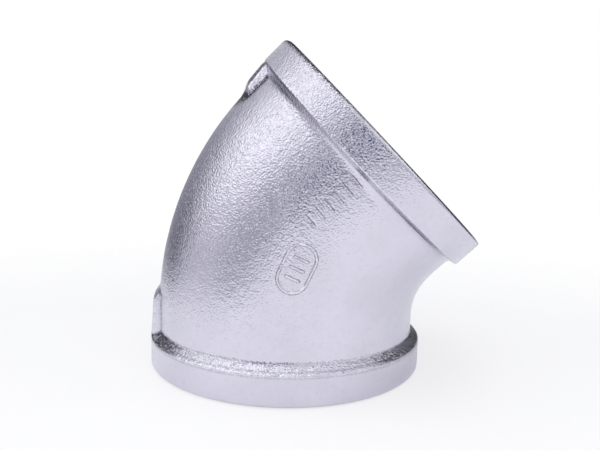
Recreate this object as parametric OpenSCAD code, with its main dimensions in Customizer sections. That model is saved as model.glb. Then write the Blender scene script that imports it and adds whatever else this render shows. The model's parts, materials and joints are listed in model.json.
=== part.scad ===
// Banded 45 degree pipe elbow, nominal size 4 inch (DN 100), cast in malleable iron and
// hot-dip galvanised, with a taper pipe thread inside each end.
//
// The elbow is one casting. It is drawn as its separate regions, each a solid of its own that
// meets its neighbours face to face.
//
// Frame: the origin is the centre of the lower end face and +Z runs up the lower leg's axis.
// The upper leg leans over towards +X, and Y = 0 is the plane that the bend lies in.
// The casting marks are on the -Y side.

/* [Elbow] */
// Angle that the elbow turns the pipe through, in degrees
bend_angle = 45; // [40:1:50]
// Distance from the crossing of the two leg axes to each end face
centre_to_end = 66.4; // [65:0.1:68]
// Radius of the bend's centreline
bend_r = 95; // [92:1:98]

/* [Body] */
// Outside diameter of the body between the bands
body_d = 128.8; // [128:0.1:130]
// Diameter of the waterway round the bend
waterway_d = 115.4; // [115:0.1:117]

/* [Bands] */
// Outside diameter of the band round each end
band_d = 137.2; // [136:0.1:139]
// Width of the band at its full diameter
band_w = 14.8; // [12:0.1:15.5]
// Length of the slope from the band down to the body
shoulder_w = 3.5; // [2:0.1:5]
// Width of the broken edge round the outer rim
rim_break = 0.8; // [0.4:0.1:1.5]

/* [Threads] */
// Minor diameter of the taper thread halfway along it
thread_minor_d = 108; // [107.4:0.1:108.6]
// Length of the slope behind the last full thread
thread_run_out = 1.65; // [1:0.05:3]
// Diameter of the countersink at the end face
countersink_d = 114.4; // [112:0.1:114.8]

/* [Ribs] */
// Width of each rib at its foot
rib_w = 50; // [46:1:54]
// Width of each rib along its crest
rib_crest_w = 46; // [40:1:46]
// Distance that a crest falls below the band's diameter along its length
rib_fall = 1.2; // [0.5:0.1:1.5]
// Distance from the lower end face to the end of the lower rib's crest
lower_rib_crest = 34; // [30:1:35]
// Distance from the lower end face to the foot of the lower rib's slope
lower_rib_foot = 40; // [38:1:42]
// Distance from the upper end face to the end of the upper rib's crest
upper_rib_crest = 27; // [25:1:35]
// Distance from the upper end face to the foot of the upper rib's slope
upper_rib_foot = 36; // [36:1:42]

/* [Casting marks] */
// Height of the raised marks above the body
mark_h = 0.7; // [0.4:0.1:1.2]
// Width of the raised lines
mark_line = 1.2; // [1:0.1:2]
// Length of the ring mark
ring_l = 23; // [18:1:26]
// Width of the ring mark
ring_w = 14; // [12:1:17]
// Number of bars inside the ring
ring_bars = 3; // [1:1:3]
// Number of strokes in the row of dashes
dash_count = 6; // [3:1:6]
// Length of one stroke
dash_l = 7; // [5:0.5:9]
// Distance between two strokes
dash_pitch = 5; // [4:0.5:5.5]

/* [Hidden] */
$fn = 128;

body_r = body_d / 2;
waterway_r = waterway_d / 2;
band_r = band_d / 2;
thread_r = thread_minor_d / 2;
countersink_r = countersink_d / 2;
// Straight length of each leg, from its end face to the start of the bend
leg = centre_to_end - bend_r * tan(bend_angle / 2);
// Distance from an end face to the place where the band's shoulder meets the body
band_end = band_w + shoulder_w;
// Length that a cutter runs past the surface it cuts
over = 1;

// Ring mark: its place in the bend plane, and the lean of its long axis from +Z
ring_x = 10.4;
ring_z = 60.8;
ring_lean = 24;
ring_bar_pitch = 4.6;
ring_bar_l = 7;

// Dash marks: the middle of the row, and the direction in which the row runs
dash_x = 24.6;
dash_z = 89.8;
dash_lean = 48;

iron = "silver";
cut_metal = "gainsboro";

// Puts a child drawn for the lower leg on the upper leg instead
module on_upper_leg() {
    translate([0, 0, centre_to_end])
        rotate([0, bend_angle, 0])
            translate([0, 0, centre_to_end])
                mirror([0, 0, 1])
                    children();
}

// Sweeps a flat child, drawn round the origin, along the centreline of the bend
module round_the_bend() {
    translate([bend_r, 0, leg])
        rotate([90, 0, 0])
            rotate([0, 0, 180 - bend_angle])
                rotate_extrude(angle = bend_angle, $fn = 256)
                    translate([bend_r, 0])
                        children();
}

// Solid rod from one end face to the other, along the elbow's centreline
module bent_rod(r) {
    cylinder(h = leg, r = r);
    round_the_bend()
        circle(r = r);
    on_upper_leg()
        cylinder(h = leg, r = r);
}

// Curved wall that joins the two straight ends
module elbow_body() {
    color(iron)
        round_the_bend()
            difference() {
                circle(r = body_r);
                circle(r = waterway_r);
            }
}

// Thick collar of one end, with the broken edge of its rim, its shoulder and the straight
// neck that runs on to the bend
module band() {
    color(iron)
        rotate_extrude()
            polygon([
                [waterway_r, 0],
                [band_r - rim_break, 0],
                [band_r, rim_break],
                [band_r, band_w],
                [body_r, band_end],
                [body_r, leg],
                [waterway_r, leg]
            ]);
}

// Threaded lining of one end: a countersink, a bore at the thread's mean minor diameter,
// and the slope behind the last full thread
module thread_lining() {
    countersink_depth = countersink_r - thread_r;
    color(cut_metal)
        rotate_extrude()
            polygon([
                [countersink_r, 0],
                [waterway_r, 0],
                [waterway_r, leg],
                [thread_r, leg - thread_run_out],
                [thread_r, countersink_depth]
            ]);
}

// Rib on the heel side of a leg, from the band's shoulder on to the foot of the bend
module rib(crest, foot) {
    // Where a side face meets the band's diameter, and where it meets the body
    crest_x = sqrt(pow(band_r, 2) - pow(rib_crest_w / 2, 2));
    foot_x = sqrt(pow(body_r, 2) - pow(rib_w / 2, 2));
    side_draft = over * (rib_w - rib_crest_w) / 2 / (crest_x - foot_x);
    color(iron)
        difference() {
            intersection() {
                // Crest, which falls a little from the band on, and the slope down into the body
                rotate_extrude()
                    polygon([
                        [0, band_w],
                        [band_r, band_w],
                        [band_r - rib_fall, crest],
                        [body_r - over, foot],
                        [0, foot]
                    ]);
                // Width and drafted sides, seen along Z
                linear_extrude(height = foot + over)
                    polygon([
                        [over - foot_x, -rib_w / 2 - side_draft],
                        [-crest_x - over, side_draft - rib_crest_w / 2],
                        [-band_r - over, side_draft - rib_crest_w / 2],
                        [-band_r - over, rib_crest_w / 2 - side_draft],
                        [-crest_x - over, rib_crest_w / 2 - side_draft],
                        [over - foot_x, rib_w / 2 + side_draft]
                    ]);
            }
            bent_rod(body_r);
            rotate_extrude()
                polygon([
                    [0, 0],
                    [band_r, 0],
                    [band_r, band_w],
                    [body_r, band_end],
                    [0, band_end]
                ]);
        }
}

// Keeps the part of a child that stands proud of the body by no more than mark_h
module raised_on_body() {
    difference() {
        intersection() {
            bent_rod(body_r + mark_h);
            children();
        }
        bent_rod(body_r);
    }
}

// Stands a flat outline up on the -Y side, with its own +Y leaning over towards +X
module stand_on_side(x, z, lean) {
    translate([x, 0, z])
        rotate([90, 0, 0])
            rotate([0, 0, -lean])
                linear_extrude(height = body_r + mark_h + over)
                    children();
}

// Outline with two straight sides and two round ends
module stadium(length, width) {
    straight = length - width;
    square([width, straight], center = true);
    for (end = [-1, 1])
        translate([0, end * straight / 2])
            circle(d = width);
}

// Plain raised ring
module ring_mark() {
    color(iron)
        raised_on_body()
            stand_on_side(ring_x, ring_z, ring_lean)
                difference() {
                    stadium(ring_l, ring_w);
                    stadium(ring_l - 2 * mark_line, ring_w - 2 * mark_line);
                }
}

// Plain bars across the inside of the ring
module ring_mark_bars() {
    color(iron)
        raised_on_body()
            stand_on_side(ring_x, ring_z, ring_lean)
                for (i = [0 : ring_bars - 1])
                    translate([0, (i - (ring_bars - 1) / 2) * ring_bar_pitch])
                        square([ring_bar_l, mark_line], center = true);
}

// Row of plain strokes near the upper band
module dash_marks() {
    color(iron)
        raised_on_body()
            stand_on_side(dash_x, dash_z, dash_lean)
                for (i = [0 : dash_count - 1])
                    translate([0, (i - (dash_count - 1) / 2) * dash_pitch])
                        square([dash_l, mark_line], center = true);
}

elbow_body();
band();  // lower_band
on_upper_leg() band();  // upper_band
thread_lining();  // lower_thread
on_upper_leg() thread_lining();  // upper_thread
rib(lower_rib_crest, lower_rib_foot);  // lower_rib
on_upper_leg() rib(upper_rib_crest, upper_rib_foot);  // upper_rib
ring_mark();
ring_mark_bars();
dash_marks();
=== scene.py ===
import itertools
import json
import math

import bpy
import numpy as np
from mathutils import Matrix, Vector


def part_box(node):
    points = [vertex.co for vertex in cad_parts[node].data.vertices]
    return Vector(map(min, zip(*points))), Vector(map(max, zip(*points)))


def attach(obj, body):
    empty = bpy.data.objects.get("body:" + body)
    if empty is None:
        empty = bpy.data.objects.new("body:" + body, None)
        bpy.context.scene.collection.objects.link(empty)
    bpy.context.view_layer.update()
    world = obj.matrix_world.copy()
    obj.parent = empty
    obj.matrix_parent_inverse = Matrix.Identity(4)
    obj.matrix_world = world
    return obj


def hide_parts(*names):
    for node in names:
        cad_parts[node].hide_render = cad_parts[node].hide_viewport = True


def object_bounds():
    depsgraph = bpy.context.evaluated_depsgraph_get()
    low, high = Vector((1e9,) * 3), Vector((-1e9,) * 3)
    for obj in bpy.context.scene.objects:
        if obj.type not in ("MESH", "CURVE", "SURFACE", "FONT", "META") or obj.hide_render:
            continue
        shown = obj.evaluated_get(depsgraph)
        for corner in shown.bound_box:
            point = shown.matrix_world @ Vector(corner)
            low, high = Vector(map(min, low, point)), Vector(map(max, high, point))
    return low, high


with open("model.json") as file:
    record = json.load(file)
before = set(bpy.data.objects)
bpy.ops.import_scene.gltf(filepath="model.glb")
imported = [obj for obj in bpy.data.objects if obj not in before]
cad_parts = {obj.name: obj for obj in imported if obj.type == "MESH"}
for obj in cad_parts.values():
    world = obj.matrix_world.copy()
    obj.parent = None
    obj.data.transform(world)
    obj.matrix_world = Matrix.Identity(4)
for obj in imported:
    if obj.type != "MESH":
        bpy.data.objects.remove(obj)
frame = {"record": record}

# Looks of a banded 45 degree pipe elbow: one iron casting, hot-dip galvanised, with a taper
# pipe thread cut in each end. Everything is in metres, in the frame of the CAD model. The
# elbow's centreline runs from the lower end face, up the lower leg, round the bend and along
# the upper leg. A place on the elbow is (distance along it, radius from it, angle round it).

MM = 0.001


# Sizes ------------------------------------------------------------------------------------

def mount(name):
    """The part's mount of that name, from the record."""
    return next(m for m in frame["record"]["mounts"] if m["name"] == name)


CAD_LOW, CAD_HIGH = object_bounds()

BAND_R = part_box("lower_band")[1].y
BAND_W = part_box("lower_rib")[0].z
BODY_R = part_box("elbow_body")[1].y
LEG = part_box("lower_band")[1].z
LINING_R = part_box("lower_thread")[1].y

UPPER_FACE = Vector(mount("upper_face")["pos_m"])
UPPER_AXIS = Vector(mount("upper_face")["axis"])
BEND_ANGLE = math.acos(UPPER_AXIS.z)
CENTRE_TO_END = UPPER_FACE.x / UPPER_AXIS.x
BEND_R = (CENTRE_TO_END - LEG) / math.tan(BEND_ANGLE / 2)
BEND_LENGTH = BEND_R * BEND_ANGLE
FULL_LENGTH = 2 * LEG + BEND_LENGTH

# Band: the width of its shoulder, the broken edge of its rim, and the radii of its corners
SHOULDER_W = 3.5 * MM
SHOULDER_END = BAND_W + SHOULDER_W
RIM_ACROSS = 2.7 * MM
RIM_ALONG = 0.9 * MM
RIM_ROUND = 1.7 * MM
CORNER_ROUND = 0.9 * MM
FOOT_ROUNDS = {"lower_band": 2.4 * MM, "upper_band": 5.5 * MM}

# How much narrower a shoulder is at the throat than at the heel, and the share by which a
# rim's broken edge is narrower at the throat and wider at the heel, fading out at RIM_LEAN_END
THROAT_PULLS = {"lower_band": 0, "upper_band": 2.1 * MM}
RIM_LEANS = {"lower_band": 0, "upper_band": 0.5}
RIM_LEAN_END = 5 * MM

# How far the ripple of the skin fades in behind an end face
RIPPLE_START = 0.3 * MM
RIPPLE_FULL = 2.5 * MM

# Taper pipe thread, 8 to the inch, measured at the end face
PITCH = 25.4 * MM / 8
V_HEIGHT = PITCH * math.cos(math.radians(30))
THREAD_HEIGHT = 0.8 * PITCH
THREAD_MID_R = 55.72 * MM
TAPER = 1 / 32
COUNTERSINK_R = 57.2 * MM
RUN_OUT = 1.65 * MM
SOCKET_R = mount("lower_socket")["dims"]["r_mm"] * MM

# Ribs: half widths at foot and crest, the fall of the crest along its length, and how far
# the crest starts below the band
RIB_HALF = 25 * MM
RIB_CREST_HALF = 23 * MM
RIB_FALL = 1.2 * MM
RIB_STEP = 0.12 * MM

# Ribs: distances from the end face to the end of the crest and to the foot of the slope
RIB_CRESTS = {"lower_rib": 34 * MM, "upper_rib": 28 * MM}
RIB_FEET = {"lower_rib": 40 * MM, "upper_rib": 36 * MM}

# Ribs: the rounding between sides and end, the rounding along the crest, the fillet along the
# foot, how far the end's slope runs on into the body, its run beside the side faces, and the
# dip of the crest behind the band
RIB_CORNER = 2.2 * MM
RIB_EDGE = 1.1 * MM
RIB_FILLET = 1.6 * MM
RIB_END_SINK = 1 * MM
RIB_SIDE_RUN = 4.2 * MM
RIB_NOTCH = 0.3 * MM
RIB_NOTCH_AT = BAND_W + 1.1 * MM
RIB_NOTCH_REACH = 1.5 * MM

# Casting marks
MARK_H = 0.7 * MM
MARK_LINE = 1.2 * MM
MARK_EDGE = 0.3 * MM
MARK_SINK = 0.05 * MM
MARK_ROOT = 1.5 * MM
MARK_MARGIN = MARK_LINE / 2 + 2.2 * MARK_EDGE
MARK_POINTS = 17
RING_L = 23 * MM
RING_W = 14 * MM
RING_LEAN = math.radians(24)
BAR_COUNT = 3
BAR_L = 7 * MM
BAR_PITCH = 4.6 * MM
DASH_COUNT = 6
DASH_L = 7 * MM
DASH_PITCH = 5 * MM
DASH_LEAN = math.radians(48)

# Painted shade, which darkens creases, the feet of raised parts and lines round the shoulders. A
# strength above 1 spreads full shade instead of making it darker
RIB_SHADES = {"lower_rib": 0.25, "upper_rib": 2.0}
RIB_CREST_SHADE = 0.55
BESIDE_RIB = 6 * MM
ABOVE_RIB_FOOT = 1.2 * MM
BAR_SHADE = 0.6
DASH_SHADE = 0.85
RING_SHADE = 0.7
HEEL_SHADE = 2.0
THROAT_SHADE = 1.1
RIM_SHADE = 1.2

# Lines of painted shade round the lower shoulder: depth behind the band's corner, reach and
# strength
LOWER_LINES = [
    (SHOULDER_W - 0.1 * MM, 0.8 * MM, 0.35),
    (1.3 * MM, 0.6 * MM, 0.45),
    (-0.7 * MM, 0.6 * MM, 0.6),
]

# The same round the upper shoulder, where each has a strength all round and one that is added
# at the heel
UPPER_LINES = [
    (0.5 * MM, 0.8 * MM, 0.12, 0.8),
    (SHOULDER_W - 0.6 * MM, 1 * MM, 0, 0.8),
]

# Shoulders: how much bumpier or smoother their zinc is, and how much their slope is brightened by
# wear and a painted highlight
GRAINS = {"lower_band": 1, "upper_band": -0.45}
SLOPE_WEAR_AND_HIGHLIGHTS = {"lower_band": 0.6, "upper_band": 0}

# Mesh: points round the elbow, the spacing of points along a seen and a hidden surface and
# along one that lies against another piece, the turn between two points of a rounded corner,
# the angle above which an edge is shaded sharp, and the distance within which two places are
# the same
AROUND = 540
SEEN_STEP = 0.55 * MM
HIDDEN_STEP = 3 * MM
JOINT_STEP = 10 * MM
CORNER_TURN = math.radians(11)
SHARP_ANGLE = math.radians(38)
SAME = 0.01 * MM


# Noise ------------------------------------------------------------------------------------

def mixed_bits(cells, seed):
    """A repeatable number from 0 to 1 for each cell of a lattice."""
    primes = np.array([73856093, 19349663, 83492791], np.uint64)
    bits = np.full(cells.shape[:-1], seed * 2654435761 % 2**32, np.uint64)
    for axis in range(3):
        bits ^= cells[..., axis].astype(np.uint64) * primes[axis]
    bits &= np.uint64(0xFFFFFFFF)
    for shift, factor in ((15, 2246822519), (13, 3266489917)):
        bits = (bits ^ (bits >> np.uint64(shift))) * np.uint64(factor)
        bits &= np.uint64(0xFFFFFFFF)
    return (bits ^ (bits >> np.uint64(16))) / 2**32


def noise(points, cell, seed):
    """Smooth noise, from about -1 to 1, whose hills are about one cell apart."""
    scaled = points / cell
    corner_cell = np.floor(scaled).astype(np.int64)
    inside = scaled - corner_cell
    share = inside**3 * (inside * (inside * 6 - 15) + 10)
    total = np.zeros(points.shape[:-1])
    for corner in itertools.product((0, 1), repeat=3):
        lattice = corner_cell + np.array(corner)
        turn = 2 * math.pi * mixed_bits(lattice, seed)
        rise = 2 * mixed_bits(lattice, seed + 71) - 1
        flat = np.sqrt(1 - rise**2)
        slope = np.stack([flat * np.cos(turn), flat * np.sin(turn), rise], -1)
        weight = np.prod(np.where(np.array(corner), share, 1 - share), -1)
        total += weight * ((inside - np.array(corner)) * slope).sum(-1)
    return 1.6 * total


def ripple(points):
    """Height of the orange-peel ripple of the cast, galvanised skin."""
    drift = np.stack([noise(points, 6 * MM, seed) for seed in (1, 2, 3)], -1)
    drifted = points + 0.8 * MM * drift
    swell = 0.06 * MM * noise(points, 21 * MM, 4)
    wrinkle = 0.055 * MM * noise(drifted, 2.2 * MM, 5)
    pimple = 0.022 * MM * noise(drifted, 1.5 * MM, 6)
    return swell + wrinkle + pimple


# The centreline and its frame -------------------------------------------------------------

def centreline(u):
    """Points of the centreline, and the directions from them towards the throat."""
    turn = np.clip((u - LEG) / BEND_R, 0, BEND_ANGLE)
    before = np.minimum(u, LEG)
    after = np.maximum(u - LEG - BEND_LENGTH, 0)
    zero = np.zeros_like(turn)
    along_x = BEND_R * (1 - np.cos(turn)) + after * np.sin(turn)
    along_z = before + BEND_R * np.sin(turn) + after * np.cos(turn)
    centres = np.stack([along_x, zero, along_z], -1)
    throatward = np.stack([np.cos(turn), zero, -np.sin(turn)], -1)
    return centres, throatward


def place(u, radius, angle):
    """Points at a distance along the centreline, a radius from it and an angle round it."""
    u, radius, angle = np.broadcast_arrays(u, radius, angle)
    centres, throatward = centreline(u)
    sideways = np.array([0.0, 1.0, 0.0])
    spoke = np.cos(angle)[..., None] * throatward + np.sin(angle)[..., None] * sideways
    return centres + radius[..., None] * spoke


def on_leg(points, upper):
    """Takes points drawn for the lower leg to the leg that they belong to."""
    if not upper:
        return points
    x, y, z = points[..., 0], points[..., 1], CENTRE_TO_END - points[..., 2]
    cos, sin = math.cos(BEND_ANGLE), math.sin(BEND_ANGLE)
    return np.stack([x * cos + z * sin, y, CENTRE_TO_END - x * sin + z * cos], -1)


def side_place(x, z):
    """Distance along and angle round the elbow of the body's -Y side at (x, z)."""
    turn = np.arctan2(z - LEG, BEND_R - x)
    turn = np.clip(turn, 0, BEND_ANGLE)
    in_bend = LEG + BEND_R * turn
    centres, throatward = centreline(in_bend)
    off_x, off_z = x - centres[..., 0], z - centres[..., 2]
    to_throat = off_x * throatward[..., 0] + off_z * throatward[..., 2]
    onward = off_z * throatward[..., 0] - off_x * throatward[..., 2]
    return in_bend + onward, -np.arccos(np.clip(to_throat / BODY_R, -1, 1))


def skin_normals(u, angle):
    """Normals of the rippled skin of the body, the same for each piece that shares it."""
    def point(du, da):
        at = place(u + du, BODY_R, angle + da)
        return place(u + du, BODY_R + ripple(at), angle + da)
    du, da = SEEN_STEP, 2 * math.pi / AROUND
    along = point(du, 0) - point(-du, 0)
    across = point(0, da) - point(0, -da)
    normals = np.cross(across, along)
    return normals / np.linalg.norm(normals, axis=-1)[..., None]


# Meshes -----------------------------------------------------------------------------------

def ease(low, high, value):
    """0 below low, 1 above high, and smooth in between."""
    t = np.clip((value - low) / (high - low), 0, 1)
    return t * t * (3 - 2 * t)


def near(value, target, reach):
    """1 where the value is at the target, and 0 where it is further off than reach."""
    return 1 - ease(0, reach, np.abs(value - target))


def soft_max(a, b, reach):
    """The higher of a and b, with a fillet where they are within reach of each other."""
    overlap = np.maximum(reach - np.abs(a - b), 0)
    return np.maximum(a, b) + overlap**2 / (4 * np.maximum(reach, 1e-9))


def soft_min(a, b, reach):
    """The lower of a and b, rounded off where they are within reach of each other."""
    return -soft_max(-a, -b, reach)


def grid_faces(rows, columns, close_rows=False, close_columns=False):
    """Quads of a grid of points numbered row by row."""
    row = np.arange(rows if close_rows else rows - 1)
    column = np.arange(columns if close_columns else columns - 1)
    row, column = np.meshgrid(row, column, indexing="ij")
    below, beside = (row + 1) % rows, (column + 1) % columns
    corners = [(row, column), (below, column), (below, beside), (row, beside)]
    return np.stack([r * columns + c for r, c in corners], -1).reshape(-1, 4)


def slab_faces(rows, columns):
    """Quads of a closed slab: a top grid, a bottom grid and the four sides between."""
    top = grid_faces(rows, columns)
    bottom = top[:, ::-1] + rows * columns
    number = np.arange(rows * columns).reshape(rows, columns)
    edge = np.concatenate([number[0, :-1], number[:-1, -1], number[-1, :0:-1], number[:0:-1, 0]])
    following = np.roll(edge, -1)
    under = rows * columns
    sides = np.stack([edge, following, following + under, edge + under], -1)
    return np.concatenate([top, bottom, sides])


def outward(points, quads):
    """The quads, turned if need be so that their normals point out of the solid."""
    a, b, c, d = (points[quads[:, i]] for i in range(4))
    volume = (np.cross(b - a, c - a) * a).sum() + (np.cross(c - a, d - a) * a).sum()
    return quads if volume > 0 else quads[:, ::-1]


def make_piece(name, node, points, quads, materials, face_material=None, attributes=None):
    """A mesh piece that stands for a CAD node and rides on the elbow."""
    points = points.reshape(-1, 3)
    mesh = bpy.data.meshes.new(name)
    mesh.from_pydata(points.tolist(), [], outward(points, quads).tolist())
    for material in materials:
        mesh.materials.append(material)
    if face_material is not None:
        mesh.polygons.foreach_set("material_index", face_material.astype(np.int32))
    for key, values in (attributes or {}).items():
        is_vector = values.size == 3 * len(points)
        layer = mesh.attributes.new(key, "FLOAT_VECTOR" if is_vector else "FLOAT", "POINT")
        flat = values.astype(np.float32).ravel()
        layer.data.foreach_set("vector" if is_vector else "value", flat)
    mesh.shade_smooth()
    mesh.set_sharp_from_angle(angle=SHARP_ANGLE)
    mesh.validate()
    piece = bpy.data.objects.new(name, mesh)
    bpy.context.scene.collection.objects.link(piece)
    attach(piece, "root")
    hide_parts(node)
    return piece


def rounded_outline(corners, steps):
    """A closed outline. Each corner is (radius, distance, rounding), and steps gives the
    spacing of the points on the side that follows it."""
    outline = []
    count = len(corners)
    for i, (radius, distance, rounding) in enumerate(corners):
        here = np.array([radius, distance])
        before = np.array(corners[i - 1][:2]) - here
        after = np.array(corners[(i + 1) % count][:2]) - here
        before, after = before / np.linalg.norm(before), after / np.linalg.norm(after)
        half = math.acos(float(np.clip(before @ after, -1, 1))) / 2
        if rounding:
            bisector = (before + after) / np.linalg.norm(before + after)
            middle = here + bisector * rounding / math.sin(half)
            first = here + before * rounding / math.tan(half) - middle
            last = here + after * rounding / math.tan(half) - middle
            turn = math.pi - 2 * half
            pieces = max(3, math.ceil(turn / CORNER_TURN))
            for k in range(pieces + 1):
                share = k / pieces
                from_first = math.sin((1 - share) * turn) * first
                from_last = math.sin(share * turn) * last
                outline.append((middle + (from_first + from_last) / math.sin(turn), i))
        else:
            outline.append((here, i))
    points = []
    for k, (start, i) in enumerate(outline):
        end, j = outline[(k + 1) % len(outline)]
        pieces = 1 if i == j else max(1, math.ceil(np.linalg.norm(end - start) / steps[i]))
        points += [start + (end - start) * n / pieces for n in range(pieces)]
    return np.array(points)


def outline_normals(outline):
    """Outward normals of a closed outline in the plane of (radius, distance)."""
    ahead = np.roll(outline, -1, 0) - np.roll(outline, 1, 0)
    normals = np.stack([ahead[:, 1], -ahead[:, 0]], -1)
    normals /= np.linalg.norm(normals, axis=1)[:, None]
    middle = outline.mean(0)
    sign = np.sign(((outline - middle) * normals).sum())
    return normals * sign


# Pieces -----------------------------------------------------------------------------------

ANGLES = np.linspace(-math.pi, math.pi, AROUND, endpoint=False)


def along_elbow(depth, upper):
    """Distance along the centreline of a place at a depth behind one end face."""
    return FULL_LENGTH - depth if upper else depth


def seam_normals(piece, shape, u, seam):
    """Gives the points on a seam the normals of the whole skin, so that the seam is unseen."""
    normals = np.zeros((*shape, 3))
    normals[seam] = skin_normals(u[seam][:, None], ANGLES[None])
    piece.data.normals_split_custom_set_from_vertices(normals.reshape(-1, 3).tolist())


def add_body(materials):
    """The curved wall between the legs: rippled outside, rough as cast inside."""
    far = LEG + BEND_LENGTH
    corners = [(BODY_R, LEG, 0), (BODY_R, far, 0), (LINING_R, far, 0), (LINING_R, LEG, 0)]
    outline = rounded_outline(corners, [SEEN_STEP, JOINT_STEP, 0.8 * HIDDEN_STEP, JOINT_STEP])
    radius, u = outline[:, 0], outline[:, 1]
    outer = radius > (BODY_R + LINING_R) / 2
    calm_end = 4 * MM
    clear_of_ends = ease(LEG, LEG + calm_end, u) * ease(far, far - calm_end, u)
    inner_roughness = 1.8
    share = np.where(outer, 1, -inner_roughness * clear_of_ends)
    at = place(u[:, None], radius[:, None], ANGLES[None])
    points = place(u[:, None], radius[:, None] + share[:, None] * ripple(at), ANGLES[None])
    quads = grid_faces(len(u), AROUND, True, True)
    inside = np.repeat(~(outer & np.roll(outer, -1)), AROUND)
    # Painted shadow on the skin beside the foot of each rib.
    marks = {"painted_shade": rib_shadow(at)}
    piece = make_piece(
        "elbow_body_cast", "elbow_body", points, quads, materials, inside, marks
    )
    at_end = outer & ((u < LEG + SAME) | (u > far - SAME))
    seam_normals(piece, at.shape[:2], u, at_end)


def band_outline(foot_round):
    """Outline of a band with its neck, as (radius, depth behind the end face)."""
    corners = [
        (LINING_R, 0, 0),
        (BAND_R - RIM_ACROSS, 0, RIM_ROUND),
        (BAND_R, RIM_ALONG, RIM_ROUND),
        (BAND_R, BAND_W, CORNER_ROUND),
        (BODY_R, SHOULDER_END, foot_round),
        (BODY_R, LEG, 0),
        (LINING_R, LEG, 0),
    ]
    face_step = 1.2 * MM
    steps = [face_step, SEEN_STEP, SEEN_STEP, SEEN_STEP, SEEN_STEP, JOINT_STEP, HIDDEN_STEP]
    return rounded_outline(corners, steps)


def lower_band_shade(depth, outer, slope):
    """Painted shade on the lower shoulder: dark at the heel and the throat, with thin lines round
    it.
    """
    toward_throat = np.cos(ANGLES)
    dark = ease(0.6, 0.82, np.abs(toward_throat))
    dark = dark * np.where(toward_throat < 0, HEEL_SHADE, THROAT_SHADE)
    lines = sum(part * near(depth, BAND_W + off, reach) for off, reach, part in LOWER_LINES)
    return slope[:, None] * dark + (lines * outer)[:, None]


def upper_band_shade(depth, outer, on_band):
    """Painted shade on the upper band: thin lines at the corner and the foot of its shoulder, and
    along its rim, all stronger on the heel side."""
    toward_heel = -np.cos(ANGLES)
    heel = ease(0.2, 0.9, toward_heel)
    rim = near(depth, 0.6 * MM, 1.8 * MM) * on_band
    band_shade = RIM_SHADE * rim[:, None] * ease(-0.2, 0.7, toward_heel)
    for off, reach, all_round, at_heel in UPPER_LINES:
        line = near(depth, BAND_W + off, reach) * outer
        band_shade = band_shade + line[:, None] * (all_round + at_heel * heel)
    return band_shade


def moved_band(node, depth):
    """Depths behind the end face of the places round a band, after its shoulder and the
    broken edge of its rim are made to differ between heel and throat."""
    toward_throat = np.cos(ANGLES)
    pulled = ease(BAND_W, SHOULDER_END, depth)
    pulled = pulled * (1 - ease(SHOULDER_END, LEG - 1 * MM, depth))
    pull = THROAT_PULLS[node] * (0.5 + 0.5 * toward_throat)
    leaned = depth * (1 - ease(RIM_ALONG, RIM_LEAN_END, depth)) * RIM_LEANS[node]
    return depth[:, None] - pulled[:, None] * pull - leaned[:, None] * toward_throat


def add_band(node, upper, materials):
    """The collar of one end: machined face, broken rim, shoulder and neck."""
    outline = band_outline(FOOT_ROUNDS[node])
    radius, depth = outline[:, 0], outline[:, 1]
    normals = outline_normals(outline)
    outer = radius > BODY_R - 1 * MM
    on_band = radius > BODY_R + 2 * MM
    neck_end = (depth > LEG - SAME) & outer
    normals[neck_end] = (1, 0)
    share = ease(RIPPLE_START, RIPPLE_FULL, depth) * outer
    at = place(along_elbow(depth, upper)[:, None], radius[:, None], ANGLES[None])
    height = share[:, None] * ripple(at)
    moved_depth = moved_band(node, depth) + normals[:, 1:] * height
    moved_radius = radius[:, None] + normals[:, :1] * height
    points = place(along_elbow(moved_depth, upper), moved_radius, ANGLES[None])
    quads = grid_faces(len(depth), AROUND, True, True)
    machined = (depth + np.roll(depth, -1) < 2 * SAME).repeat(AROUND)
    # Wear and a painted highlight: the rim's broken edge and the band's corner are paler, and on
    # the lower band so is the shoulder's slope.
    worn_and_highlit = (near(depth, RIM_ALONG, RIM_ALONG) + near(depth, BAND_W, CORNER_ROUND)) * on_band
    slope = ease(BAND_W - 0.5 * MM, BAND_W + 0.5 * MM, depth)
    slope = slope * (1 - ease(SHOULDER_END - 1 * MM, SHOULDER_END + 2 * MM, depth))
    if upper:
        band_shade = upper_band_shade(depth, outer, on_band)
    else:
        band_shade = lower_band_shade(depth, outer, slope)
    # Painted shade on the band: its own dark patches and lines, and the shadow beside the ribs.
    marks = {
        "turned": turned_coordinates(moved_radius, moved_depth, ANGLES[None]),
        "wear_and_highlight": np.repeat(worn_and_highlit + SLOPE_WEAR_AND_HIGHLIGHTS[node] * slope, AROUND),
        "slope": np.repeat(GRAINS[node] * slope, AROUND),
        "painted_shade": np.maximum(band_shade, rib_shadow(at)),
    }
    piece = make_piece(
        node + "_cast", node, points, quads, materials, machined, marks
    )
    seam_normals(piece, at.shape[:2], along_elbow(depth, upper), neck_end)


def turned_coordinates(radius, depth, angle):
    """Place in the frame of the lathe that cut one end: across, across and along its axis."""
    radius, depth, angle = np.broadcast_arrays(radius, depth, angle)
    return np.stack([radius * np.cos(angle), radius * np.sin(angle), depth], -1)


def thread_radius(depth, u, angle):
    """Radius of the inner surface of one end: countersink, right-hand thread and run-out."""
    middle = THREAD_MID_R - TAPER * depth
    saw = np.abs(2 * np.mod(u / PITCH - angle / (2 * math.pi), 1) - 1)
    cut = np.clip(V_HEIGHT * (saw - 0.5), -THREAD_HEIGHT / 2, THREAD_HEIGHT / 2)
    run_out = LINING_R - (LEG - depth) * (LINING_R - SOCKET_R) / RUN_OUT
    return np.maximum(np.maximum(middle + cut, COUNTERSINK_R - depth), run_out)


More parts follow.
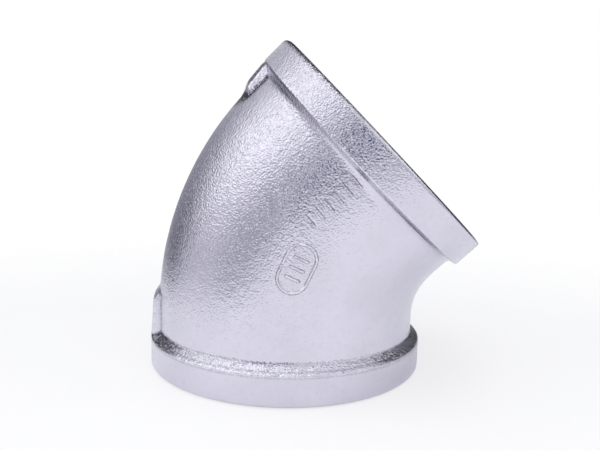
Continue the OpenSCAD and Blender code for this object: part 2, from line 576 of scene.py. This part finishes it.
def add_thread(node, upper, materials):
    """The threaded lining of one end, cut after galvanising."""
    rows, hidden_rows, around = 170, 9, 400
    angles = np.linspace(-math.pi, math.pi, around, endpoint=False)[None]
    inner_depth = np.linspace(0, LEG, rows)[:, None]
    inner = thread_radius(inner_depth, along_elbow(inner_depth, upper), angles)
    outer_depth = np.linspace(LEG, 0, hidden_rows)[1:, None]
    outer = np.full((len(outer_depth), around), LINING_R)
    depth = np.concatenate([inner_depth, outer_depth])
    radius = np.concatenate([inner, outer])
    points = place(along_elbow(depth, upper), radius, angles)
    quads = grid_faces(len(depth), around, True, True)
    turned = turned_coordinates(radius, depth, angles)
    make_piece(
        node + "_cut", node, points, quads, materials, None, {"turned": turned}
    )


def bend_wall(depth, angle):
    """Radius from a leg's axis to the wall of the bend, at an angle from the heel side. It is
    found by halving the range that it lies in."""
    low = np.full(depth.shape, 0.8 * BODY_R)
    high = np.full(depth.shape, 1.1 * BODY_R)
    halvings = 40
    for _ in range(halvings):
        trial = (low + high) / 2
        reach = np.hypot(BEND_R + trial * np.cos(angle), depth - LEG) - BEND_R
        inside = np.hypot(reach, trial * np.sin(angle)) < BODY_R
        low, high = np.where(inside, trial, low), np.where(inside, high, trial)
    return np.where(depth > LEG, low, BODY_R)


def leg_surface(depth, angle, foot_round):
    """Radius from a leg's axis to the casting without its rib."""
    outline = band_outline(foot_round)
    seen = (outline[:, 0] > BODY_R - SAME) & (outline[:, 1] > 3 * RIM_ALONG)
    order = np.argsort(outline[seen, 1])
    band = np.interp(depth, outline[seen, 1][order], outline[seen, 0][order])
    return np.where(depth > LEG, bend_wall(depth, angle), band)


def rib_faces(depth, angle, crest, foot):
    """Heights above the wall of a rib's crest, and of its sides and end rounded into one."""
    wall = bend_wall(depth, angle)
    fall = RIB_FALL * np.clip((depth - BAND_W) / (crest - BAND_W), 0, 1)
    notch = RIB_NOTCH * near(depth, RIB_NOTCH_AT, RIB_NOTCH_REACH)
    top = BAND_R - RIB_STEP - fall - notch - wall
    side_foot = math.asin(RIB_HALF / BODY_R)
    side_crest = math.asin(RIB_CREST_HALF / BAND_R)
    side = (side_foot - np.abs(angle)) / (side_foot - side_crest) * (BAND_R - BODY_R)
    end_top = BAND_R - RIB_FALL
    off_middle = np.clip(np.abs(angle) / side_foot, 0, 1)
    run = foot - crest - (foot - crest - RIB_SIDE_RUN) * off_middle**2
    end = end_top - (depth - crest) * (end_top - BODY_R + RIB_END_SINK) / run - wall
    inner = np.maximum(RIB_CORNER, np.minimum(side, end))
    edge = np.hypot(np.maximum(RIB_CORNER - side, 0), np.maximum(RIB_CORNER - end, 0))
    return top, inner - edge


def rib_shadow(points):
    """Painted shadow on the casting's skin along the foot of each rib, which fades out beside it.
    """
    shadow = np.zeros(points.shape[:-1])
    for node, upper in (("lower_rib", False), ("upper_rib", True)):
        flat = on_leg(points, upper)
        depth, angle = flat[..., 2], np.arctan2(flat[..., 1], -flat[..., 0])
        flank = rib_faces(depth, angle, RIB_CRESTS[node], RIB_FEET[node])[1]
        beside = RIB_SHADES[node] * near(flank, 0, BESIDE_RIB)
        shadow = np.maximum(shadow, beside * (depth > SHOULDER_END))
    return shadow


def rib_grid(foot):
    """Depths and angles of the points of a rib, closer together near its sides."""
    rows, side_columns, middle_columns = 88, 52, 44
    side = math.asin(RIB_HALF / BODY_R)
    margin = math.radians(5)
    near_side = np.linspace(side - margin, side + margin, side_columns)
    middle = np.linspace(-side + margin, side - margin, middle_columns)[1:-1]
    angle = np.concatenate([-near_side[::-1], middle, near_side])[None]
    depth = np.linspace(BAND_W - 1.5 * MM, foot + 4 * MM, rows)[:, None]
    return np.broadcast_arrays(depth, angle)


def rib_painted_shade(node, depth, top, flank):
    """Painted shade on a rib along its foot, and a painted dark strip on its crest."""
    reach = np.where(flank > 0, ABOVE_RIB_FOOT, BESIDE_RIB)
    foot = near(flank, 0, reach) * (depth > SHOULDER_END)
    crest = ease(-0.2 * MM, 0.8 * MM, flank - top) * ease(BAND_W, BAND_W + 2 * MM, depth)
    return RIB_SHADES[node] * np.maximum(foot, RIB_CREST_SHADE * crest)


def add_rib(node, upper, materials):
    """The rib on the heel side of a leg, blended into the body by a fillet."""
    foot = RIB_FEET[node]
    depth, angle = rib_grid(foot)
    base = leg_surface(depth, angle, FOOT_ROUNDS[node.replace("rib", "band")])
    top, flank = rib_faces(depth, angle, RIB_CRESTS[node], foot)
    rib = bend_wall(depth, angle) + soft_min(top, flank, RIB_EDGE)
    fillet = RIB_FILLET * ease(BAND_W - 0.5 * MM, BAND_W + 4 * MM, depth)
    skin = soft_max(base, rib, fillet)

    def laid_out(radius):
        flat = np.stack([-radius * np.cos(angle), radius * np.sin(angle), depth], -1)
        return on_leg(flat, upper)

    sink = 0.004 * MM
    root = 2.5 * MM
    top_points = laid_out(skin + ripple(laid_out(skin)) - sink)
    bottom_points = laid_out(base - root)
    points = np.concatenate([top_points.reshape(-1, 3), bottom_points.reshape(-1, 3)])
    # Wear and a painted highlight along the edge of the rib's crest.
    wear_and_highlight = near(top - flank, 0, 1.5 * MM) * (flank > 0.5 * MM)
    # Painted shade in the corner where the rib meets the back of the band.
    behind_band = near(depth, BAND_W + 1 * MM, 1.2 * MM) * (rib > base)
    painted_shade = np.maximum(rib_painted_shade(node, depth, top, flank), behind_band)
    hidden = np.zeros(wear_and_highlight.size)
    marks = {
        "wear_and_highlight": np.concatenate([wear_and_highlight.ravel(), hidden]),
        "painted_shade": np.concatenate([painted_shade.ravel(), hidden]),
    }
    quads = slab_faces(*base.shape)
    make_piece(node + "_cast", node, points, quads, materials, None, marks)


def relief_points(centre, lean, across, along, height):
    """Points on the body's -Y side. across and along are places in a flat mark whose own
    upward direction leans over by lean, and height is how far they stand proud."""
    x = centre.x + across * math.cos(lean) + along * math.sin(lean)
    z = centre.z - across * math.sin(lean) + along * math.cos(lean)
    u, angle = side_place(x, z)
    at = place(u, BODY_R, angle)
    return place(u, BODY_R + ripple(at) + height, angle)


def middle_of(node):
    """Middle of a CAD node's box."""
    low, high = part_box(node)
    return (low + high) / 2


def line_foot_shade(off_middle):
    """Painted shade along the foot of a raised line, which is stronger on its far side."""
    beside = near(np.abs(off_middle), MARK_LINE / 2 + 0.5 * MARK_EDGE, 0.75 * MM)
    near_side_share = 0.3
    return beside * np.where(off_middle > 0, 1, near_side_share)


def line_height(distance):
    """Height of a raised line with soft edges, at a distance from its middle."""
    half = MARK_LINE / 2
    return MARK_H * (1 - ease(half - MARK_EDGE, half + MARK_EDGE, distance)) - MARK_SINK


def add_strokes(node, centre, lean, length, offsets, strength, materials):
    """A row of plain raised strokes, each one closed solid with round ends."""
    rows, columns = 61, MARK_POINTS
    straight = (length - MARK_LINE) / 2
    across = np.linspace(-straight - MARK_MARGIN, straight + MARK_MARGIN, rows)[:, None]
    side = np.linspace(-MARK_MARGIN, MARK_MARGIN, columns)[None]
    root = np.full((rows, columns), -MARK_ROOT)
    distance = np.hypot(np.maximum(np.abs(across) - straight, 0), side)
    solids, faces, wear_and_highlight, painted_shade = [], [], [], []
    for i, offset in enumerate(offsets):
        top = relief_points(centre, lean, across, offset + side, line_height(distance))
        bottom = relief_points(centre, lean, across, offset + side, root)
        solids += [top.reshape(-1, 3), bottom.reshape(-1, 3)]
        hidden = np.zeros(distance.size)
        wear_and_highlight += [near(distance, 0, MARK_LINE).ravel(), hidden]
        painted_shade += [strength * line_foot_shade(np.copysign(distance, side)).ravel(), hidden]
        faces.append(slab_faces(rows, columns) + i * 2 * rows * columns)
    points, quads = np.concatenate(solids), np.concatenate(faces)
    marks = {"wear_and_highlight": np.concatenate(wear_and_highlight), "painted_shade": np.concatenate(painted_shade)}
    make_piece(node + "_cast", node, points, quads, materials, None, marks)


def stadium_path(length, width, count):
    """Points of an outline with two straight sides and round ends, and its normals."""
    straight, bend = length - width, math.pi * width / 2
    share = np.linspace(0, 1, count, endpoint=False) * 2 * (straight + bend)
    second = share >= straight + bend
    share = np.where(second, share - straight - bend, share)
    turn = np.clip((share - straight) / (width / 2), 0, math.pi)
    across = width / 2 * np.cos(turn)
    along = np.minimum(share, straight) - straight / 2 + width / 2 * np.sin(turn)
    flip = np.where(second, -1, 1)
    normals = np.stack([np.cos(turn), np.sin(turn)], -1) * flip[:, None]
    return np.stack([across, along], -1) * flip[:, None], normals


def add_ring(node, centre, lean, materials):
    """A plain raised ring."""
    round_path = 180
    path, normals = stadium_path(RING_L - MARK_LINE, RING_W - MARK_LINE, round_path)
    offset = np.linspace(-MARK_MARGIN, MARK_MARGIN, MARK_POINTS)
    top = line_height(np.abs(offset))
    offset = np.concatenate([offset, offset[::-1]])
    height = np.concatenate([top, np.full(len(top), -MARK_ROOT)])
    flat = path[:, None] + offset[None, :, None] * normals[:, None]
    height = np.broadcast_to(height, flat.shape[:2])
    points = relief_points(centre, lean, flat[..., 0], flat[..., 1], height)
    quads = grid_faces(*flat.shape[:2], True, True)
    on_top = height > -MARK_ROOT
    marks = {
        "wear_and_highlight": near(offset, 0, MARK_LINE) * on_top,
        "painted_shade": RING_SHADE * line_foot_shade(offset) * on_top,
    }
    make_piece(node + "_cast", node, points, quads, materials, None, marks)


# Materials --------------------------------------------------------------------------------

def new_material(name):
    """A material with an empty node tree, and the tree."""
    material = bpy.data.materials.new(name)
    material.use_nodes = True
    material.node_tree.nodes.clear()
    return material, material.node_tree


def add_node(tree, kind, inputs=None, **settings):
    """A node with its settings, and with its inputs linked or given a value."""
    made = tree.nodes.new("ShaderNode" + kind)
    for key, value in settings.items():
        setattr(made, key, value)
    for key, value in (inputs or {}).items():
        if isinstance(value, bpy.types.NodeSocket):
            tree.links.new(value, made.inputs[key])
        else:
            made.inputs[key].default_value = value
    return made


def noise_at(tree, vector, cell, detail=2.0, distortion=0.0):
    """Noise texture, whose hills are about one cell apart."""
    inputs = {"Vector": vector, "Scale": 1 / cell, "Detail": detail, "Distortion": distortion}
    return add_node(tree, "TexNoise", inputs).outputs["Fac"]


def spread(tree, value, low, high, to_low, to_high):
    """value, taken from low..high to to_low..to_high."""
    inputs = {"Value": value, "From Min": low, "From Max": high}
    inputs.update({"To Min": to_low, "To Max": to_high})
    return add_node(tree, "MapRange", inputs).outputs["Result"]


def mixed(tree, share, first, second):
    """The first colour, with a share of the second mixed in."""
    inputs = {"Fac": share, "Color1": first, "Color2": second}
    return add_node(tree, "MixRGB", inputs).outputs["Color"]


def bumped(tree, height, distance, normal=None):
    """Normals of a surface with a relief, on top of the normals given."""
    inputs = {"Height": height, "Distance": distance}
    if normal is not None:
        inputs["Normal"] = normal
    return add_node(tree, "Bump", inputs).outputs["Normal"]


def finish_metal(tree, colour, roughness, normal, edge=(1, 1, 1, 1)):
    """The metal's shader. edge is its colour where it is seen at a grazing angle."""
    inputs = {
        "Metallic": 1.0,
        "Base Color": colour,
        "Roughness": roughness,
        "Normal": normal,
        "Specular Tint": edge,
    }
    shader = add_node(tree, "BsdfPrincipled", inputs)
    output = add_node(tree, "OutputMaterial", {"Surface": shader.outputs["BSDF"]})
    output.is_active_output = True


def stored(tree, name):
    """A value stored on the mesh's points, or 0 on a piece that has none."""
    return add_node(tree, "Attribute", attribute_name=name).outputs["Fac"]


def math_node(tree, operation, first, second):
    """The result of an arithmetic operation on two values."""
    return add_node(tree, "Math", {0: first, 1: second}, operation=operation).outputs[0]


def galvanised_zinc():
    """Bright hot-dip zinc over a cast skin: clouded, flecked with duller crystals, brighter along
    the edges with wear and a painted highlight, darkened with painted shade in the creases, and
    with a peel that is coarser near the heel."""
    material, tree = new_material("galvanised_zinc")
    at = add_node(tree, "TexCoord").outputs["Object"]
    clouds = spread(tree, noise_at(tree, at, 19 * MM, 3), 0.38, 0.62, 0, 1)
    flecks = spread(tree, noise_at(tree, at, 2.2 * MM, 3, 0.6), 0.40, 0.66, 0, 1)
    zinc = mixed(tree, clouds, (0.735, 0.715, 0.79, 1), (0.70, 0.68, 0.752, 1))
    dull = spread(tree, flecks, 0.5, 1, 0, 0.22)
    dulled = mixed(tree, dull, zinc, (0.60, 0.585, 0.645, 1))
    patches = spread(tree, noise_at(tree, at, 3 * MM, 3), 0.42, 0.62, 0.1, 0.8)
    # Wear and painted highlight: the stored brightness, broken into patches, makes the zinc paler.
    worn_and_highlit = math_node(tree, "MULTIPLY", stored(tree, "wear_and_highlight"), patches)
    brighter = mixed(tree, worn_and_highlit, dulled, (0.83, 0.82, 0.86, 1))
    # Painted shade: the stored shade, broken up by fine specks, mixes the zinc towards near black.
    specks = spread(tree, noise_at(tree, at, 0.7 * MM, 2), 0.42, 0.56, 0.15, 1)
    speckled_shade = math_node(tree, "MULTIPLY", stored(tree, "painted_shade"), specks)
    colour = mixed(tree, speckled_shade, brighter, (0.16, 0.155, 0.18, 1))
    # The painted shade also dims the grazing reflection, so that shaded places stay dark at the
    # silhouettes.
    edge = mixed(tree, speckled_shade, (1, 1, 1, 1), (0.12, 0.12, 0.14, 1))
    rough = spread(tree, noise_at(tree, at, 8 * MM, 4), 0.3, 0.7, 0.11, 0.19)
    rougher = math_node(tree, "ADD", rough, spread(tree, flecks, 0, 1, 0, 0.05))
    slope = stored(tree, "slope")
    finish_metal(tree, colour, rougher, zinc_relief(tree, at, slope), edge)
    return material


def zinc_relief(tree, at, slope):
    """Normals of the zinc's peel, and of the grain on the shoulder's slope."""
    inputs = {0: at, 1: (-0.5, 0, 0.87)}
    heelward = add_node(tree, "VectorMath", inputs, operation="DOT_PRODUCT").outputs["Value"]
    coarser = spread(tree, heelward, 35 * MM, 105 * MM, 0.5, 1.9)
    deeper = math_node(tree, "ADD", coarser, slope)
    swells = math_node(tree, "MULTIPLY", noise_at(tree, at, 1.5 * MM, 1, 0.8), deeper)
    peel = math_node(tree, "MULTIPLY", noise_at(tree, at, 0.8 * MM, 0.5, 0.4), deeper)
    bump = bumped(tree, peel, 0.18 * MM, bumped(tree, swells, 0.10 * MM))
    on_slope = math_node(tree, "MAXIMUM", slope, 0)
    grain = math_node(tree, "MULTIPLY", noise_at(tree, at, 0.8 * MM, 1), on_slope)
    return bumped(tree, grain, 0.36 * MM, bump)


def rough_zinc():
    """Zinc over the rough cast wall inside the bend."""
    material, tree = new_material("rough_zinc")
    at = add_node(tree, "TexCoord").outputs["Object"]
    clouds = spread(tree, noise_at(tree, at, 12 * MM, 4), 0.35, 0.65, 0, 1)
    colour = mixed(tree, clouds, (0.62, 0.62, 0.67, 1), (0.44, 0.44, 0.48, 1))
    rough = spread(tree, noise_at(tree, at, 5 * MM, 4), 0.3, 0.7, 0.34, 0.52)
    lumps = bumped(tree, noise_at(tree, at, 3.4 * MM, 3, 0.5), 0.5 * MM)
    grain = bumped(tree, noise_at(tree, at, 0.7 * MM, 3), 0.09 * MM, lumps)
    finish_metal(tree, colour, rough, grain)
    return material


def turned_marks(tree, cell):
    """Fine lines that run round a turned surface, from 0 to 1."""
    turned = add_node(tree, "Attribute", attribute_name="turned").outputs["Vector"]
    parts = add_node(tree, "SeparateXYZ", {"Vector": turned})
    flat = add_node(tree, "CombineXYZ", {"X": parts.outputs["X"], "Y": parts.outputs["Y"]})
    length = add_node(tree, "VectorMath", {0: flat.outputs["Vector"]}, operation="LENGTH")
    radius = length.outputs["Value"]
    line = add_node(tree, "CombineXYZ", {"X": radius, "Z": parts.outputs["Z"]}).outputs["Vector"]
    drift = add_node(tree, "VectorMath", {0: turned, 1: (0.004, 0.004, 0.0)}, operation="MULTIPLY")
    waved = add_node(tree, "VectorMath", {0: line, 1: drift.outputs["Vector"]}, operation="ADD")
    return noise_at(tree, waved.outputs["Vector"], cell, 1.5), turned


def cut_metal(name, bright, dull, low_roughness, high_roughness):
    """Iron turned on a lathe after galvanising, with fine tool marks and a film of oil."""
    material, tree = new_material(name)
    marks, turned = turned_marks(tree, 0.22 * MM)
    clouds = spread(tree, noise_at(tree, turned, 6 * MM, 4), 0.35, 0.65, 0, 1)
    colour = mixed(tree, clouds, bright, dull)
    lined = mixed(tree, spread(tree, marks, 0.35, 0.75, 0, 0.4), colour, (0.34, 0.33, 0.33, 1))
    rough = spread(tree, noise_at(tree, turned, 3 * MM, 3), 0.3, 0.7, low_roughness, high_roughness)
    finish_metal(tree, lined, rough, bumped(tree, marks, 0.03 * MM))
    return material


# Floor, light and camera ------------------------------------------------------------------

# Floor: its radius, the radius at which it starts to fade out, and how far it is moved to the
# front
FLOOR_R = 0.46
FLOOR_FADE = 0.24
FLOOR_AHEAD = 0.1


def floor_material():
    """Plain white studio table, faintly mottled, that fades out at its edge. It glows with painted
    light, more strongly towards the front.
    """
    material, tree = new_material("white_table")
    at = add_node(tree, "TexCoord").outputs["Object"]
    mottle = noise_at(tree, at, 40 * MM, 4)
    colour = mixed(tree, mottle, (0.84, 0.84, 0.85, 1), (0.88, 0.88, 0.89, 1))
    grain = bumped(tree, noise_at(tree, at, 2 * MM, 3), 0.02 * MM)
    from_front = add_node(tree, "VectorMath", {0: at, 1: (0.0, -0.12, 0)}, operation="DISTANCE")
    # Painted light: the table glows, most near the front, which brightens it and its reflection in
    # the elbow's lower side.
    glow = spread(tree, from_front.outputs["Value"], 0.14, 0.34, 0.18, 0.085)
    inputs = {
        "Base Color": colour,
        "Roughness": 0.8,
        "Specular IOR Level": 0.15,
        "Normal": grain,
        "Emission Color": (1, 1, 1, 1),
        "Emission Strength": glow,
    }
    shader = add_node(tree, "BsdfPrincipled", inputs)
    distance = add_node(tree, "VectorMath", {0: at}, operation="LENGTH").outputs["Value"]
    fade = spread(tree, distance, FLOOR_FADE, FLOOR_R, 0, 1)
    clear = add_node(tree, "BsdfTransparent")
    inputs = {0: fade, 1: shader.outputs["BSDF"], 2: clear.outputs["BSDF"]}
    both = add_node(tree, "MixShader", inputs)
    seen = spread(tree, add_node(tree, "LightPath").outputs["Is Camera Ray"], 0, 1, 0, 0.6)
    white = add_node(tree, "Emission", {"Color": (1, 1, 1, 1)}).outputs["Emission"]
    table = add_node(tree, "MixShader", {0: seen, 1: both.outputs["Shader"], 2: white})
    add_node(tree, "OutputMaterial", {"Surface": table.outputs["Shader"]})
    return material


def add_floor():
    """A round table top under the elbow."""
    mesh = bpy.data.meshes.new("floor")
    corners = 96
    turns = [2 * math.pi * i / corners for i in range(corners)]
    edge = [(FLOOR_R * math.cos(t), FLOOR_R * math.sin(t), 0) for t in turns]
    mesh.from_pydata(edge, [], [range(corners)])
    mesh.materials.append(floor_material())
    floor = bpy.data.objects.new("floor", mesh)
    floor.location = (CAD_LOW + CAD_HIGH) / 2
    floor.location.y -= FLOOR_AHEAD
    floor.location.z = CAD_LOW.z - 0.02 * MM
    bpy.context.scene.collection.objects.link(floor)


def facing(azimuth, elevation):
    """Direction at an azimuth from the front towards +X, and an elevation, in degrees."""
    a, e = math.radians(azimuth), math.radians(elevation)
    return (math.sin(a) * math.cos(e), -math.cos(a) * math.cos(e), math.sin(e))


def cosine(degrees):
    """Cosine of an angle in degrees."""
    return math.cos(math.radians(degrees))


# Soft boxes and dark flags round the table: azimuth, elevation, angle from the middle out to
# which it is at full strength, angle at which it ends, and colour. A later one covers an
# earlier one
STUDIO = [
    (166, 17, 17, 27, (0.05, 0.05, 0.07)),
    (136, 10, 14, 24, (0.04, 0.04, 0.05)),
    (-146, 4, 8, 20, (0.36, 0.36, 0.42)),
    (-142, 30, 7, 18, (0.50, 0.50, 0.56)),
    (-80, 1, 12, 22, (0.61, 0.61, 0.67)),
    (-126, 15, 9, 22, (0.33, 0.33, 0.39)),
    (-122, 1, 9, 17, (0.12, 0.12, 0.15)),
    (-44, 6, 8, 19, (0.40, 0.41, 0.49)),
    (-5, 13, 10, 17, (0.02, 0.05, 0.15)),
    (-9, -6, 6, 11, (1.08, 1.07, 1.12)),
    (98, 50, 22, 42, (0.96, 0.97, 1.02)),
    (-60, 68, 10, 28, (1.06, 1.07, 1.11)),
    (-90, 87, 9, 17, (2.34, 2.35, 2.43)),
    (-88, 33, 13, 21, (1.33, 1.34, 1.39)),
    (-62, 33, 12, 18, (1.33, 1.34, 1.39)),
]


def add_world():
    """A pale studio of soft light. The camera itself sees plain white beyond the table."""
    world = bpy.data.worlds.new("studio")
    world.use_nodes = True
    bpy.context.scene.world = world
    tree = world.node_tree
    tree.nodes.clear()
    toward = add_node(tree, "TexCoord").outputs["Generated"]
    up = add_node(tree, "SeparateXYZ", {"Vector": toward}).outputs["Z"]
    rise = spread(tree, up, -0.1, 0.9, 0, 1)
    light = mixed(tree, rise, (0.52, 0.525, 0.59, 1), (0.92, 0.93, 0.98, 1))
    for azimuth, elevation, full, end, colour in STUDIO:
        inputs = {0: toward, 1: facing(azimuth, elevation)}
        closeness = add_node(tree, "VectorMath", inputs, operation="DOT_PRODUCT").outputs["Value"]
        limits = {"Value": closeness, "From Min": cosine(end), "From Max": cosine(full)}
        share = add_node(tree, "MapRange", limits, interpolation_type="SMOOTHSTEP")
        light = mixed(tree, share.outputs["Result"], light, (*colour, 1))
    studio = add_node(tree, "Background", {"Color": light, "Strength": 1.0})
    backdrop = add_node(tree, "Background", {"Color": (1, 1, 1, 1), "Strength": 1.0})
    seen = add_node(tree, "LightPath").outputs["Is Camera Ray"]
    inputs = {0: seen, 1: studio.outputs["Background"], 2: backdrop.outputs["Background"]}
    both = add_node(tree, "MixShader", inputs).outputs["Shader"]
    add_node(tree, "OutputWorld", {"Surface": both})


def add_camera():
    """Camera in front of the elbow and a little above it, with a slight roll."""
    azimuth, elevation, roll = math.radians(4.31), math.radians(8.77), math.radians(1.39)
    target = Vector((0.094 * BAND_R, 0, 1.015 * BAND_R))
    distance = 5.0 * BAND_R
    back = Vector((
        math.sin(azimuth) * math.cos(elevation),
        -math.cos(azimuth) * math.cos(elevation),
        math.sin(elevation),
    ))
    level = Vector((math.cos(azimuth), math.sin(azimuth), 0))
    upright = back.cross(level)
    right = math.cos(roll) * level + math.sin(roll) * upright
    up = math.cos(roll) * upright - math.sin(roll) * level
    data = bpy.data.cameras.new("camera")
    data.sensor_width = 36
    data.lens = 40.26
    data.clip_start = 0.01
    data.clip_end = 10
    camera = bpy.data.objects.new("camera", data)
    turn = Matrix((right, up, back)).transposed()
    camera.matrix_world = Matrix.Translation(target + back * distance) @ turn.to_4x4()
    bpy.context.scene.collection.objects.link(camera)
    bpy.context.scene.camera = camera


# The scene --------------------------------------------------------------------------------

zinc = galvanised_zinc()
inner_zinc = rough_zinc()
faced = cut_metal("faced_iron", (0.74, 0.73, 0.73, 1), (0.62, 0.61, 0.61, 1), 0.42, 0.55)
threaded = cut_metal("threaded_iron", (0.64, 0.63, 0.62, 1), (0.50, 0.49, 0.48, 1), 0.24, 0.40)

add_body([zinc, inner_zinc])
for node, upper in (("lower_band", False), ("upper_band", True)):
    add_band(node, upper, [zinc, faced])
for node, upper in (("lower_thread", False), ("upper_thread", True)):
    add_thread(node, upper, [threaded])
for node, upper in (("lower_rib", False), ("upper_rib", True)):
    add_rib(node, upper, [zinc])

add_ring("ring_mark", middle_of("ring_mark"), RING_LEAN, [zinc])
bars = [(i - (BAR_COUNT - 1) / 2) * BAR_PITCH for i in range(BAR_COUNT)]
add_strokes("ring_mark_bars", middle_of("ring_mark"), RING_LEAN, BAR_L, bars, BAR_SHADE, [zinc])
dashes = [(i - (DASH_COUNT - 1) / 2) * DASH_PITCH for i in range(DASH_COUNT)]
add_strokes("dash_marks", middle_of("dash_marks"), DASH_LEAN, DASH_L, dashes, DASH_SHADE, [zinc])

add_floor()
add_world()
add_camera()
bpy.context.scene.view_settings.view_transform = "Standard"
